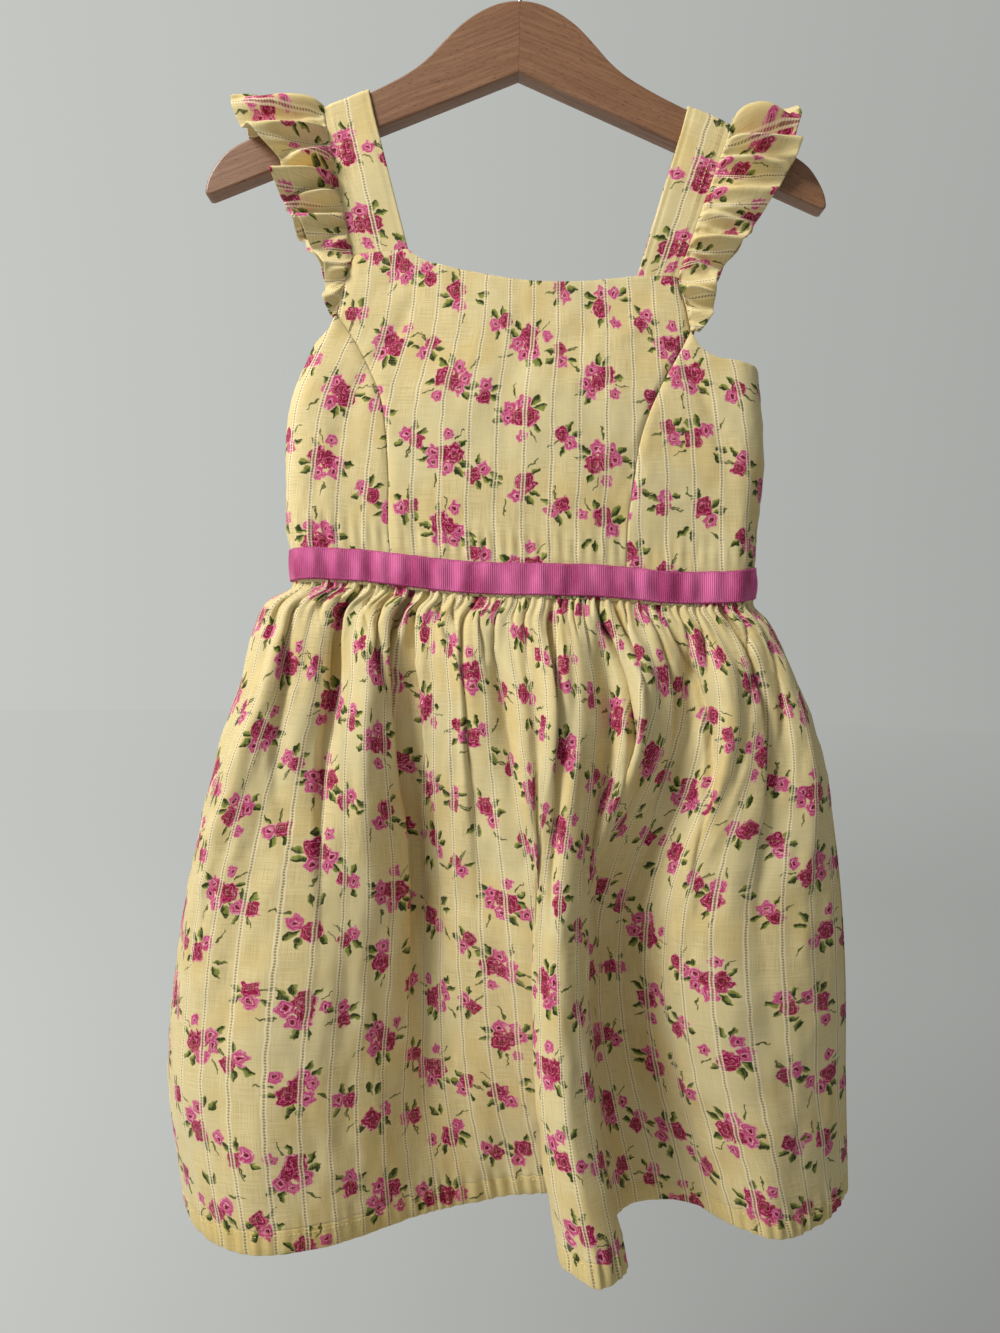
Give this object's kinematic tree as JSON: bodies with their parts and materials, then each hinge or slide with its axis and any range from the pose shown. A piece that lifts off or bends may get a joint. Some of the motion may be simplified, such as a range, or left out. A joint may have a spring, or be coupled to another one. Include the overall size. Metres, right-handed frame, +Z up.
{
  "type": "sundress on a wooden hanger",
  "caption": "Child's cotton sundress with flutter ruffle straps, a ribbon at the waist and a gathered skirt, hanging on a flat wooden hanger.",
  "frame": {"origin": "inside top of the hook, where it hangs on a rail", "axes": "+Z up along the hook's stem, +Y from the dress's front to its back, +X to the right as seen from the front"},
  "size_m": [0.41, 0.1065, 0.7682],
  "materials": {
    "beech": "satin lacquered beech",
    "steel": "bright drawn wire",
    "cotton": "matt printed cotton lawn with woven openwork stripes",
    "ribbon": "ribbed grosgrain with a soft sheen"
  },
  "bodies": {
    "root": {"hanger": "beech", "hook": "steel", "bodice_front_centre": "cotton", "bodice_side_front_left": "cotton", "bodice_side_front_right": "cotton", "bodice_back_left": "cotton", "bodice_back_right": "cotton", "strap_left": "cotton", "strap_right": "cotton", "ruffle_left": "cotton", "ruffle_right": "cotton", "waist_ribbon": "ribbon", "skirt_front": "cotton", "skirt_back": "cotton"}
  },
  "joints": []
}
